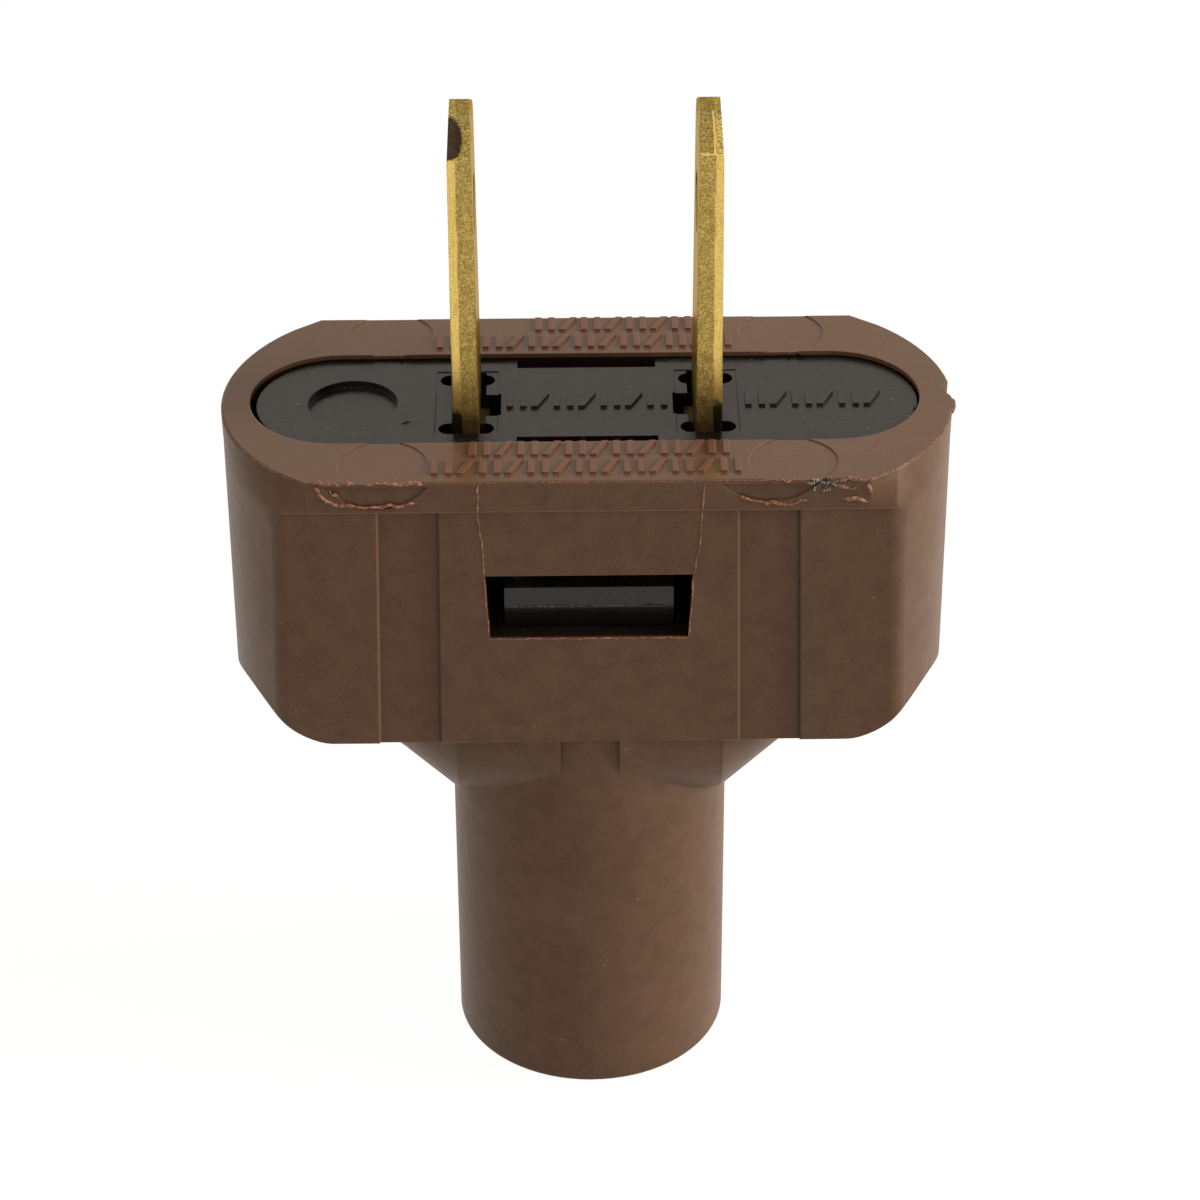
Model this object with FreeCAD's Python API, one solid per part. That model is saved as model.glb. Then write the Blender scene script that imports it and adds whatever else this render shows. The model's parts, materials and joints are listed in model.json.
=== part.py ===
import FreeCAD, Part
import os
from math import sqrt
from FreeCAD import Vector

# Two-blade wall plug for round cord, in millimetres.
# The origin is the centre of the cord sleeve's open end. +Z runs up to the blades, X joins the two blades,
# and Y is the plug's depth. The plug stands on its sleeve, as it is shown.

# Blade pattern, which every outlet of this type expects
blade_pitch = 12.7
blade_width = 6.35
blade_thickness = 1.4
blade_reach = 17.05            # beyond the contact face

# Blade form
tip_cut_width = 2.4            # each corner cut, across the blade
tip_cut_height = 1.25
tip_coin_height = 1.8          # the tip is coined thinner over this height
tip_coin_thickness = 1.05
tip_taper_thickness = 1.24     # where the coined tip begins; the blade thins slightly up to there
blade_edge_radius = 0.12
blade_hole_radius = 1.6
blade_hole_from_face = 11.5
shoulder_extra = 0.6           # how far the stop shoulders stand out, each side
shoulder_height = 1.3
tab_length = 9.6               # inner end of a blade, below the carrier plate
lance_width = 1.6              # small tongue that locks the blade in the carrier
lance_height = 0.7
lance_stand = 0.5
lance_play = 0.05              # lance to the carrier

# Terminal screws
screw_radius = 1.75
screw_head_radius = 3.0
screw_head_height = 1.7
screw_crown_radius = 0.68
screw_slot_width = 0.9
screw_slot_depth = 0.8
screw_end_stand = 0.8          # shank past the blade's inner face
screw_below_plate = 5.6
screw_play = 0.03              # radial, thread to blade

# Housing, outside
rim_height = 40.8              # sleeve's open end to the contact face
rim_half_depth = 8.65
rim_end_radius = 10.1
rim_half_length = 19.35
band_height = 1.8
band_proud = 0.15
body_drop = 16.9               # contact face to the body's underside
body_end_radius = 12.7
body_half_length = 19.3
body_draft = 0.55              # each face leans in by this much over the body
body_edge_radius = 0.3
crease_radius = 1.0            # where the faces meet the round ends
corner_radius = 4.0            # the four lower corners, each rounded along its own slant
corner_reach = 19.0            # plug's axis to the outside of that rounding
corner_slant = 25.0            # degrees, from the plug's length to each corner's slant
rim_edge_chamfer = 0.12

# Grip strips, sunk into the front and back faces
strip_depth = 0.3
strip_inner_top = 7.75
strip_inner_bottom = 8.0
strip_outer_top = 10.87
strip_outer_bottom = 11.25

# Shoulders and cord sleeve
shoulder_step = 2.9            # body's end to the shoulder cone's point
shoulder_axis_rise = 0.3       # the shoulders' axis, above the body's underside
shoulder_bend_x = 7.2          # where the steep cone meets the flat one
shoulder_bend_radius = 7.2
underside_step = 0.05          # body's foot to the shoulders' widest
channel_half_width = 1.6       # gap between the left and right shoulder pads
sleeve_radius = 7.62
sleeve_edge_radius = 0.3
cord_radius = 4.95             # of the cord bore
bore_chamfer = 0.6

# Housing, inside
mouth_half_length = 17.62
mouth_half_depth = 4.62
mouth_left_extra = 0.22        # the mouth is longer by this at its left end
ledge_width = 0.92             # at each end of the mouth, under the carrier
floor_thickness = 2.9          # at the ends of the wiring space
funnel_depth = 8.2             # of the sloping floor that leads to the cord bore

# Latch windows, one in the front face and one in the back, and the carrier's lugs in them
window_top_drop = 5.9
window_draft = 0.2             # each side leans in by this much downwards
lug_half_length = 4.45
lug_side_gap = 0.77
lug_catch_gap = 0.25
lug_catch_height = 1.1         # sloping catch, above the upright nose
lug_nose_height = 1.15
lug_ramp = 1.4                 # steep ramp below the nose
lug_ramp_inset = 0.3           # the ramp's foot lies this far behind the nose
lug_foot_gap = 0.1
lug_recess = 1.1               # nose behind the housing's face

# Moulding marks on the rim
pin_mark_radius = 2.3
pin_mark_x = 10.6
pin_mark_inset = 1.9           # rim's long edge to the mark's middle
pin_mark_depth = 0.06
left_scar_x = -10.9            # shallow crescents below the front pin marks
left_scar_rise = 1.7           # middle of the crescent's circle, above the contact face
right_scar_x = 9.3
right_scar_rise = 1.95
scar_radius = 3.3
scar_depth = 0.12
scar_drop = 0.25               # contact face to the crescent's straight top

# Small chip broken out of the rim's right end
chip_y = 0.58
chip_half_width = 0.98         # at the rim's outline
chip_floor_half_width = 0.5
chip_depth = 0.34
chip_height = 1.45

# Raised tactile bars on the rim, in place of lettering
bar_width = 0.34
bar_rise = 0.14
bar_gap = 0.72                 # between the two bars of a pair
bar_slant = 0.48               # a slanted bar runs this far each side of its middle
bar_root = 0.05                # depth to which the bars reach into what carries them
mark_length = 1.35
row_pitch = 1.24               # between neighbouring marks of a row
back_outer_count = 7
back_outer_x = 1.5             # the row's middle
back_outer_inset = 0.95        # rim's long edge to the row's middle
back_inner_count = 13
back_inner_x = -0.1
back_inner_inset = 2.8
front_inner_count = 11
front_inner_x = 0.6
front_inner_inset = 3.2
front_outer_count = 13
front_outer_x = -0.1
front_outer_inset = 1.43
carrier_middle_count = 7
carrier_middle_x = 0.0
carrier_end_count = 6
carrier_end_x = 12.0

# Blade carrier
carrier_play = 0.12            # carrier to the housing's mouth, all round
carrier_sunk = 0.3             # carrier's face below the rim
plate_thickness = 3.2
block_bottom_drop = 14.2
block_wall = 1.2
block_gap = 0.35               # screw's end to the block
barrier_thickness = 1.4
rib_thickness = 1.0
rib_gap = 0.05                 # screw's side to the ribs
slot_play = 0.04               # blade to its slot, each side
slot_relief = 0.3              # the slot's mouth is wider by this on the blade's inner side
pry_half_length = 3.7
pry_width = 0.9
pry_depth = 2.2
pocket_depth = 1.6
lobe_half_length = 1.45
lobe_half_width = 0.55
lobe_back_inset = 0.78         # blade's edge to the lobe's middle
lobe_front_inset = 0.53
notch_back_gap = 0.05          # lance to the notch
notch_front_gap = 0.55
notch_end_gap = 0.6
frame_mark_side = 0.95         # faint rectangle round each blade, this far out from it
frame_mark_end = 0.1
frame_mark_depth = 0.05
dimple_x = 12.4
dimple_radius = 2.38
dimple_depth = 0.38

# Worked-out places
blade_x = blade_pitch / 2
body_bottom = rim_height - body_drop
band_bottom = rim_height - band_height
rim_corner_x = rim_half_length - rim_end_radius + sqrt(rim_end_radius ** 2 - rim_half_depth ** 2)
body_corner_x = body_half_length - body_end_radius + sqrt(body_end_radius ** 2 - rim_half_depth ** 2)
face_half_depth = rim_half_depth - band_proud
foot_half_depth = face_half_depth - body_draft
plate_top = rim_height - carrier_sunk
plate_bottom = plate_top - plate_thickness
shoulder_point_x = body_half_length - shoulder_step
shoulder_radius = foot_half_depth - underside_step
cavity_half_length = mouth_half_length - ledge_width
floor_edge = body_bottom + floor_thickness
bore_top = floor_edge - funnel_depth
lug_height = lug_catch_height + lug_nose_height + lug_ramp
window_top = rim_height - window_top_drop
window_bottom = window_top - lug_catch_gap - lug_height - lug_foot_gap
window_half_bottom = lug_half_length + lug_side_gap
window_half_top = window_half_bottom + window_draft
blade_inner_face = blade_x - blade_thickness / 2
blade_outer_face = blade_x + blade_thickness / 2
screw_tip = blade_inner_face - screw_end_stand
screw_z = plate_bottom - screw_below_plate
block_half_length = screw_tip - block_gap
rib_y = screw_radius + rib_gap + rib_thickness / 2
pocket_floor = plate_top - pocket_depth

# Working allowances
margin = 5.0                   # how far cutting tools run past what they cut
overlap = 0.5                  # how far joined pieces run into each other
touch = 0.01                   # heights closer than this count as the same


def plan(half_length, half_depth, end_radius, z):
    """Closed outline: two flats at +-half_depth, joined by end arcs that reach +-half_length."""
    centre = half_length - end_radius
    corner = centre + sqrt(end_radius ** 2 - half_depth ** 2)
    front_left = Vector(-corner, -half_depth, z)
    front_right = Vector(corner, -half_depth, z)
    back_right = Vector(corner, half_depth, z)
    back_left = Vector(-corner, half_depth, z)
    return Part.Wire([
        Part.makeLine(front_left, front_right),
        Part.Arc(front_right, Vector(half_length, 0, z), back_right).toShape(),
        Part.makeLine(back_right, back_left),
        Part.Arc(back_left, Vector(-half_length, 0, z), front_left).toShape(),
    ])


def stadium(half_length, half_depth, z, height):
    """Upright prism with straight sides and half-round ends."""
    outline = plan(half_length, half_depth, half_depth, z)
    return Part.Face(outline).extrude(Vector(0, 0, height))


def block(x_low, x_high, y_low, y_high, z_low, z_high):
    size = Vector(x_high - x_low, y_high - y_low, z_high - z_low)
    return Part.makeBox(size.x, size.y, size.z, Vector(x_low, y_low, z_low))


def prism_y(points, y_low, y_high):
    """Polygon of (x, z) points, carried along Y."""
    corners = [Vector(x, y_low, z) for x, z in points]
    face = Part.Face(Part.makePolygon(corners + corners[:1]))
    return face.extrude(Vector(0, y_high - y_low, 0))


def prism_x(points, x_low, x_high):
    """Polygon of (y, z) points, carried along X."""
    corners = [Vector(x_low, y, z) for y, z in points]
    face = Part.Face(Part.makePolygon(corners + corners[:1]))
    return face.extrude(Vector(x_high - x_low, 0, 0))


def both_faces(shape):
    """A shape made at the front, and its twin turned to the back."""
    twin = shape.copy()
    twin.rotate(Vector(0, 0, 0), Vector(0, 0, 1), 180)
    return [shape, twin]


def drafted_slab(inset, z_low, z_high):
    """Everything between the two drafted faces, with each face moved in by inset."""
    lean = (face_half_depth - foot_half_depth) / (band_bottom - body_bottom)

    def half_depth(z):
        return face_half_depth - inset - lean * (band_bottom - z)

    low = half_depth(z_low)
    high = half_depth(z_high)
    reach = rim_half_length + margin
    return prism_x([(-low, z_low), (low, z_low), (high, z_high), (-high, z_high)], -reach, reach)


def edges_where(shape, test):
    return [edge for edge in shape.Edges if test(edge.BoundBox)]


def body_shell():
    """Body below the rim: round ends, drafted faces, softened creases and underside."""
    round_ends = stadium(body_half_length, body_end_radius, body_bottom, band_bottom - body_bottom)
    body = round_ends.common(drafted_slab(0, body_bottom, band_bottom))
    creases = edges_where(body, lambda box: box.ZLength > body_edge_radius and box.XMin * box.XMax > 0)
    body = body.makeFillet(crease_radius, creases)
    underside = edges_where(body, lambda box: box.ZMax < body_bottom + touch)
    body = body.makeFillet(body_edge_radius, underside)
    return body.cut(lower_corners())


def lower_corners():
    """What is taken off the four lower corners: the outside of a level cylinder across each slant."""
    reach = rim_half_length + margin
    axis_x = corner_reach - corner_radius
    axis_z = body_bottom + corner_radius
    outside = block(axis_x, reach, -reach, reach, body_bottom - margin, axis_z)
    roller = Part.makeCylinder(corner_radius, 2 * reach, Vector(axis_x, -reach, axis_z), Vector(0, 1, 0))
    outside = outside.cut(roller)
    cuts = []
    for turn in (corner_slant, 180 - corner_slant, 180 + corner_slant, -corner_slant):
        cut = outside.copy()
        cut.rotate(Vector(0, 0, 0), Vector(0, 0, 1), turn)
        cuts.append(cut)
    return cuts


def grip_strips():
    """The four sunk strips: what is taken off the drafted faces."""
    skin = block(-rim_half_length, rim_half_length, -rim_half_depth - margin, rim_half_depth + margin,
                 body_bottom - margin, band_bottom)
    skin = skin.cut(drafted_slab(strip_depth, body_bottom - margin, band_bottom))
    strips = []
    for side in (-1, 1):
        strip = prism_y(
            [(side * strip_inner_top, band_bottom), (side * strip_outer_top, band_bottom),
             (side * strip_outer_bottom, body_bottom), (side * strip_inner_bottom, body_bottom)],
            -rim_half_depth - margin, rim_half_depth + margin)
        strips.append(strip.common(skin))
    return strips


def rim_outline(half_length, end_radius, inset, z):
    """Rim's plan at one height, moved in by inset: flats, a short straight at each corner, and end arcs."""
    end = half_length - inset
    flat_y = rim_half_depth - inset
    arc_y = sqrt((end_radius - inset) ** 2 - (body_corner_x - half_length + end_radius) ** 2)
    right = [Vector(rim_corner_x, -flat_y, z), Vector(body_corner_x, -arc_y, z),
             Vector(body_corner_x, arc_y, z), Vector(rim_corner_x, flat_y, z)]
    left = [Vector(-corner.x, -corner.y, z) for corner in right]
    edges = []
    for corners, end_x, following in ((right, end, left[0]), (left, -end, right[0])):
        edges.append(Part.makeLine(corners[0], corners[1]))
        edges.append(Part.Arc(corners[1], Vector(end_x, 0, z), corners[2]).toShape())
        edges.append(Part.makeLine(corners[2], corners[3]))
        edges.append(Part.makeLine(corners[3], following))
    return Part.Wire(edges)


def rim_band():
    """Rim: its top outline turns in earlier than its foot, so a twisted facet slopes at each corner."""
    foot = rim_outline(body_half_length, body_end_radius, 0, band_bottom)
    upper = rim_outline(rim_half_length, rim_end_radius, 0, rim_height - rim_edge_chamfer)
    top = rim_outline(rim_half_length, rim_end_radius, rim_edge_chamfer, rim_height)
    return Part.makeLoft([foot, upper, top], True, True)


def shoulders():
    """Round pads that carry the body on the sleeve: turned about X, steep outside, nearly level inside."""
    profile = [(channel_half_width, 0), (channel_half_width, shoulder_radius),
               (shoulder_bend_x, shoulder_bend_radius), (shoulder_point_x, 0)]
    axis_z = body_bottom + shoulder_axis_rise
    pads = []
    for side in (-1, 1):
        corners = [Vector(side * x, y, axis_z) for x, y in profile]
        face = Part.Face(Part.makePolygon(corners + corners[:1]))
        pads.append(face.revolve(Vector(0, 0, axis_z), Vector(1, 0, 0), 360))
    return pads


def sleeve():
    tube = Part.makeCylinder(sleeve_radius, body_bottom + overlap)
    foot = edges_where(tube, lambda box: box.ZMax < touch)
    return tube.makeFillet(sleeve_edge_radius, foot)


def inner_space():
    """Mouth for the carrier, wiring space with a sloping floor, and cord bore."""
    mouth = stadium(mouth_half_length, mouth_half_depth, plate_bottom, plate_thickness + margin)
    mouth_end = mouth.copy()
    mouth_end.translate(Vector(-mouth_left_extra, 0, 0))
    top = plate_bottom + overlap
    funnel = prism_y(
        [(-cavity_half_length, top), (cavity_half_length, top),
         (cavity_half_length, floor_edge), (cord_radius, bore_top),
         (-cord_radius, bore_top), (-cavity_half_length, floor_edge)],
        -mouth_half_depth, mouth_half_depth)
    space = stadium(cavity_half_length, mouth_half_depth, bore_top, top - bore_top)
    bore = Part.makeCylinder(cord_radius, bore_top + overlap + margin, Vector(0, 0, -margin))
    lead_in = Part.makeCone(cord_radius + bore_chamfer, cord_radius, bore_chamfer)
    return [mouth, mouth_end, space.common(funnel), bore, lead_in]


def latch_windows():
    """Windows that narrow a little downwards, cut from the faces through to the inner space."""
    window = prism_y(
        [(-window_half_top, window_top), (window_half_top, window_top),
         (window_half_bottom, window_bottom), (-window_half_bottom, window_bottom)],
        -rim_half_depth - margin, -mouth_half_depth + overlap)
    return both_faces(window)


def pin_marks():
    """Faint round ejector marks on the rim, and the crescents below the two front ones."""
    pin_mark_y = rim_half_depth - pin_mark_inset
    cuts = []
    for x in (-pin_mark_x, pin_mark_x):
        for y in (-pin_mark_y, pin_mark_y):
            cuts.append(Part.makeCylinder(pin_mark_radius, margin,
                                          Vector(x, y, rim_height - pin_mark_depth)))
    below_edge = block(-rim_half_length, rim_half_length, -rim_half_depth - margin, 0,
                       band_bottom, rim_height - scar_drop)
    for x, rise in ((left_scar_x, left_scar_rise), (right_scar_x, right_scar_rise)):
        disc = Part.makeCylinder(scar_radius, margin,
                                 Vector(x, -rim_half_depth + scar_depth, rim_height + rise),
                                 Vector(0, -1, 0))
        cuts.append(disc.common(below_edge))
    return cuts


def rim_chip():
    """What is broken out of the rim's right end: a blunt notch down the band."""
    outer_half_width = 2 * chip_half_width - chip_floor_half_width
    outer_x = rim_half_length + chip_depth
    inner_x = rim_half_length - chip_depth
    low = rim_height - chip_height
    corners = [Vector(outer_x, chip_y - outer_half_width, low),
               Vector(outer_x, chip_y + outer_half_width, low),
               Vector(inner_x, chip_y + chip_floor_half_width, low),
               Vector(inner_x, chip_y - chip_floor_half_width, low)]
    face = Part.Face(Part.makePolygon(corners + corners[:1]))
    return face.extrude(Vector(0, 0, chip_height + margin))


def tactile_row(middle_x, middle_y, count, surface_z):
    """Row of raised marks on a level surface: a pair of upright bars, then one slanted bar, and so on."""
    marks = []
    y_low = middle_y - mark_length / 2
    y_high = middle_y + mark_length / 2
    z = surface_z - bar_root
    rise = bar_rise + bar_root
    for index in range(count):
        x = middle_x + (index - (count - 1) / 2) * row_pitch
        if index % 2:
            corners = [Vector(x - bar_slant, y_low, z), Vector(x - bar_slant + bar_width, y_low, z),
                       Vector(x + bar_slant, y_high, z), Vector(x + bar_slant - bar_width, y_high, z)]
            face = Part.Face(Part.makePolygon(corners + corners[:1]))
            marks.append(face.extrude(Vector(0, 0, rise)))
        else:
            for offset in (-bar_gap / 2, bar_gap / 2):
                marks.append(block(x + offset - bar_width / 2, x + offset + bar_width / 2,
                                   y_low, y_high, z, z + rise))
    return marks


def rim_marks():
    rows = [
        (back_outer_x, rim_half_depth - back_outer_inset, back_outer_count),
        (back_inner_x, rim_half_depth - back_inner_inset, back_inner_count),
        (front_inner_x, front_inner_inset - rim_half_depth, front_inner_count),
        (front_outer_x, front_outer_inset - rim_half_depth, front_outer_count),
    ]
    marks = []
    for middle_x, middle_y, count in rows:
        marks += tactile_row(middle_x, middle_y, count, rim_height)
    return marks


def make_housing():
    housing = body_shell().multiFuse([rim_band(), sleeve()] + shoulders())
    housing = housing.cut(grip_strips())
    housing = housing.cut(pin_marks() + [rim_chip()])
    housing = housing.multiFuse(rim_marks())
    housing = housing.cut(inner_space() + latch_windows())
    return housing.removeSplitter()


def latch_lug():
    """Lug on the carrier's front: sloping catch, upright nose, steep ramp below."""
    root = mouth_half_depth - carrier_play
    nose = face_half_depth - lug_recess
    top = window_top - lug_catch_gap
    nose_top = top - lug_catch_height
    nose_bottom = nose_top - lug_nose_height
    foot = nose - lug_ramp_inset
    return prism_x(
        [(-root + overlap, top), (-root, top), (-nose, nose_top), (-nose, nose_bottom),
         (-foot, nose_bottom - lug_ramp), (-root + overlap, nose_bottom - lug_ramp)],
        -lug_half_length, lug_half_length)


def carrier_block():
    """Open-bottomed block between the blades, with a barrier across it and ribs that back the blades."""
    half_depth = mouth_half_depth - carrier_play
    bottom = rim_height - block_bottom_drop
    outer = block(-block_half_length, block_half_length, -half_depth, half_depth, bottom, plate_bottom)
    inner_x = block_half_length - block_wall
    inner_y = half_depth - block_wall
    core = block(-inner_x, inner_x, -inner_y, inner_y, bottom, plate_bottom)
    barrier = block(-barrier_thickness / 2, barrier_thickness / 2, -inner_y, inner_y, bottom, plate_bottom)
    pieces = [outer.cut(core), barrier]
    rib_reach = blade_inner_face - slot_play
    for side in (-1, 1):
        for y in (-rib_y, rib_y):
            x_low, x_high = sorted((side * block_half_length, side * rib_reach))
            pieces.append(block(x_low, x_high, y - rib_thickness / 2, y + rib_thickness / 2,
                                bottom, plate_bottom))
    return pieces


def blade_seat(side):
    """What is cut for one blade: its slot with a relief, two end lobes, the inner notch and a faint frame."""
    x = side * blade_x
    half_x = blade_thickness / 2 + slot_play
    half_y = blade_width / 2 + slot_play
    cuts = [block(x - half_x, x + half_x, -half_y, half_y, plate_bottom - margin, plate_top + margin)]
    x_low, x_high = sorted((x, side * (blade_inner_face - slot_relief)))
    cuts.append(block(x_low, x_high, -half_y, half_y, pocket_floor, plate_top + margin))
    for y in (lobe_front_inset - blade_width / 2, blade_width / 2 - lobe_back_inset):
        lobe = stadium(lobe_half_length, lobe_half_width, pocket_floor, pocket_depth + margin)
        lobe.translate(Vector(x, y, 0))
        cuts.append(lobe)
    notch_end = blade_inner_face - lance_stand - notch_end_gap
    x_low, x_high = sorted((x, side * notch_end))
    cuts.append(block(x_low, x_high, -lance_width / 2 - notch_front_gap, lance_width / 2 + notch_back_gap,
                      pocket_floor, plate_top + margin))
    frame_x = blade_thickness / 2 + frame_mark_side
    frame_y = blade_width / 2 + frame_mark_end
    cuts.append(block(x - frame_x, x + frame_x, -frame_y, frame_y,
                      plate_top - frame_mark_depth, plate_top + margin))
    return cuts


def carrier_marks():
    """Low bars on the carrier's face, in place of lettering."""
    marks = []
    for middle_x, count in ((carrier_middle_x, carrier_middle_count), (carrier_end_x, carrier_end_count)):
        marks += tactile_row(middle_x, 0, count, plate_top)
    return marks


def make_carrier():
    half_length = mouth_half_length - carrier_play
    half_depth = mouth_half_depth - carrier_play
    plate = stadium(half_length, half_depth, plate_bottom, plate_thickness)
    carrier = plate.multiFuse(carrier_block() + both_faces(latch_lug()))
    cuts = blade_seat(-1) + blade_seat(1)
    pry = block(-pry_half_length, pry_half_length, -half_depth - margin, -half_depth + pry_width,
                plate_top - pry_depth, plate_top + margin)
    cuts += both_faces(pry)
    cuts.append(Part.makeCylinder(dimple_radius, margin, Vector(-dimple_x, 0, plate_top - dimple_depth)))
    carrier = carrier.cut(cuts)
    return carrier.multiFuse(carrier_marks()).removeSplitter()


def make_blade(side):
    """Stamped blade: coined, corner-cut tip, round hole, stop shoulders, lance and inner tab."""
    x = side * blade_x
    half_width = blade_width / 2
    tip = rim_height + blade_reach
    tab_end = plate_bottom - tab_length
    shoulder_top = plate_bottom
    shoulder_bottom = shoulder_top - shoulder_height
    wide = half_width + shoulder_extra
    tip_flat = half_width - tip_cut_width
    tip_side = tip - tip_cut_height
    right_half = [
        (tip_flat, tip), (half_width, tip_side), (half_width, shoulder_top), (wide, shoulder_top),
        (wide, shoulder_bottom), (half_width, shoulder_bottom), (half_width, tab_end),
    ]
    outline = right_half + [(-y, z) for y, z in reversed(right_half)]
    half = blade_thickness / 2
    blade = prism_x(outline, -half, half)
    long_edges = edges_where(
        blade, lambda box: box.ZMin > plate_bottom - touch and box.ZLength > blade_reach / 2)
    blade = blade.makeFillet(blade_edge_radius, long_edges)
    coin_start = tip - tip_coin_height
    coin_half = tip_coin_thickness / 2
    taper_half = tip_taper_thickness / 2
    coined = prism_y(
        [(-half, tab_end), (half, tab_end), (half, rim_height), (taper_half, coin_start), (coin_half, tip),
         (-coin_half, tip), (-taper_half, coin_start), (-half, rim_height)], -wide, wide)
    blade = blade.common(coined)
    lance_low = pocket_floor + lance_play
    x_low, x_high = sorted((0, -side * (half + lance_stand)))
    blade = blade.fuse(block(x_low, x_high, -lance_width / 2, lance_width / 2,
                             lance_low, lance_low + lance_height))
    for radius, z in ((blade_hole_radius, rim_height + blade_hole_from_face),
                      (screw_radius + screw_play, screw_z)):
        blade = blade.cut(Part.makeCylinder(radius, 2 * margin, Vector(-margin, 0, z), Vector(1, 0, 0)))
    blade.translate(Vector(x, 0, 0))
    return blade


def make_screw(side):
    """Slotted binding-head screw, its head on the blade's outer face."""
    outwards = Vector(1, 0, 0)
    head_top = blade_outer_face + screw_head_height
    shank = Part.makeCylinder(screw_radius, blade_outer_face - screw_tip, Vector(screw_tip, 0, screw_z),
                              outwards)
    head = Part.makeCylinder(screw_head_radius, screw_head_height, Vector(blade_outer_face, 0, screw_z),
                             outwards)
    crown = edges_where(head, lambda box: box.XMin > head_top - touch)
    head = head.makeFillet(screw_crown_radius, crown)
    slot = block(head_top - screw_slot_depth, head_top + margin, -screw_head_radius, screw_head_radius,
                 screw_z - screw_slot_width / 2, screw_z + screw_slot_width / 2)
    screw = shank.fuse(head).cut(slot).removeSplitter()
    if side < 0:
        screw.rotate(Vector(0, 0, 0), Vector(0, 0, 1), 180)
    return screw


pieces = {
    "housing": make_housing(),
    "blade_carrier": make_carrier(),
    "blade_left": make_blade(-1),
    "blade_right": make_blade(1),
    "terminal_screw_left": make_screw(-1),
    "terminal_screw_right": make_screw(1),
}

os.makedirs("parts", exist_ok=True)
for name, shape in pieces.items():
    shape.exportStep("parts/" + name + ".step")
    print(name, "solids", len(shape.Solids), "volume", round(shape.Volume, 1), "valid", shape.isValid())
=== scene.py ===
import json
import math

import bpy
import numpy as np
from mathutils import Matrix, Vector


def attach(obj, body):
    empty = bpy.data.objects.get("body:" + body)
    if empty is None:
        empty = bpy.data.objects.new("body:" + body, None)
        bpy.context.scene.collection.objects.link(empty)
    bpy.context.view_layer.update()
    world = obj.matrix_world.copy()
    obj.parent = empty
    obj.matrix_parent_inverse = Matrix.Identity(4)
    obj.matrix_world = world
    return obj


# Two-blade wall plug for round cord: brown moulded housing, black snap-in carrier, stamped brass blades.
# Sizes below are in millimetres, in the part's own frame: z runs up from the open end of the cord sleeve.

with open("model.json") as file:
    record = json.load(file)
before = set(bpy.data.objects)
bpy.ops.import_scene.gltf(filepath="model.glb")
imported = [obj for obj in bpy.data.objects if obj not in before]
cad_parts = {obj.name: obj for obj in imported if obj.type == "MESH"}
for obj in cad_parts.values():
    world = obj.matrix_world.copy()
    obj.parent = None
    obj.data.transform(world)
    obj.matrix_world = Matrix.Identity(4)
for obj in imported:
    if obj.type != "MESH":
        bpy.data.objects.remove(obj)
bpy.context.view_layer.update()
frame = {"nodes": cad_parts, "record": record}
nodes = frame["nodes"]
mounts = {mount["name"]: mount for mount in frame["record"]["mounts"]}
metre = 1000.0    # millimetres in one
speckCore = 0.6   # a speck of dust or a pit is full within this share of its radius

plugForm = {
    "rimTop": mounts["contact_face"]["pos_m"][2] * metre,
    "rimHalfDepth": 8.65,
    "rimEndRadius": 10.1,
    "rimHalfLength": 19.35,
    "bandHeight": 1.8,
    "faceHalfDepth": 8.5,        # just below the band
    "faceLean": 0.55 / 15.1,     # the drafted faces lean in by this share of the drop
    "carrierSunk": 0.3,          # carrier's face below the contact face
}

# Settings that several kinds of node share
smoothly = {"interpolation_type": "SMOOTHSTEP"}
ofColours = {"data_type": "RGBA"}
times = {"operation": "MULTIPLY"}
plus = {"operation": "ADD"}
minus = {"operation": "SUBTRACT"}
greater = {"operation": "MAXIMUM"}
size = {"operation": "ABSOLUTE"}
timesPlus = {"operation": "MULTIPLY_ADD"}   # the first input times the second, plus the third
isAbove = {"operation": "GREATER_THAN"}
isBelow = {"operation": "LESS_THAN"}
isNear = {"operation": "COMPARE"}           # the first differs from the second by no more than the third


def linear(hexColour):   # sRGB hex to the linear values that the shaders take
    parts = [int(hexColour[i:i + 2], 16) / 255 for i in (1, 3, 5)]
    return tuple(((c + 0.055) / 1.055) ** 2.4 if c > 0.04045 else c / 12.92 for c in parts) + (1.0,)


def tonesOf(use):   # the colours among a piece's values, made linear
    return {key: linear(value) for key, value in use.items() if isinstance(value, str)}


def addNode(tree, kind, settings, inputs):   # inputs: each a value, or the output of another node
    made = tree.nodes.new("ShaderNode" + kind)
    for name, value in settings.items():
        setattr(made, name, value)
    for name, value in inputs.items():
        if isinstance(value, bpy.types.NodeSocket):
            tree.links.new(value, made.inputs[name])
        else:
            made.inputs[name].default_value = value
    return made.outputs


def startMaterial(name):   # new material, its node tree, and the object's own coordinates
    material = bpy.data.materials.new(name)
    material.use_nodes = True
    tree = material.node_tree
    return material, tree, addNode(tree, "TexCoord", {}, {})


def finishMaterial(tree, inputs):   # inputs of the surface shader
    shader = tree.nodes["Principled BSDF"]
    for name, value in inputs.items():
        if isinstance(value, bpy.types.NodeSocket):
            tree.links.new(value, shader.inputs[name])
        else:
            shader.inputs[name].default_value = value


# The four numbers of a mask, here and below: the value where it starts, the value where it is full, its
# share before the start and its share where it is full. Values are in mm, or of a noise from 0 to 1.

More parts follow.
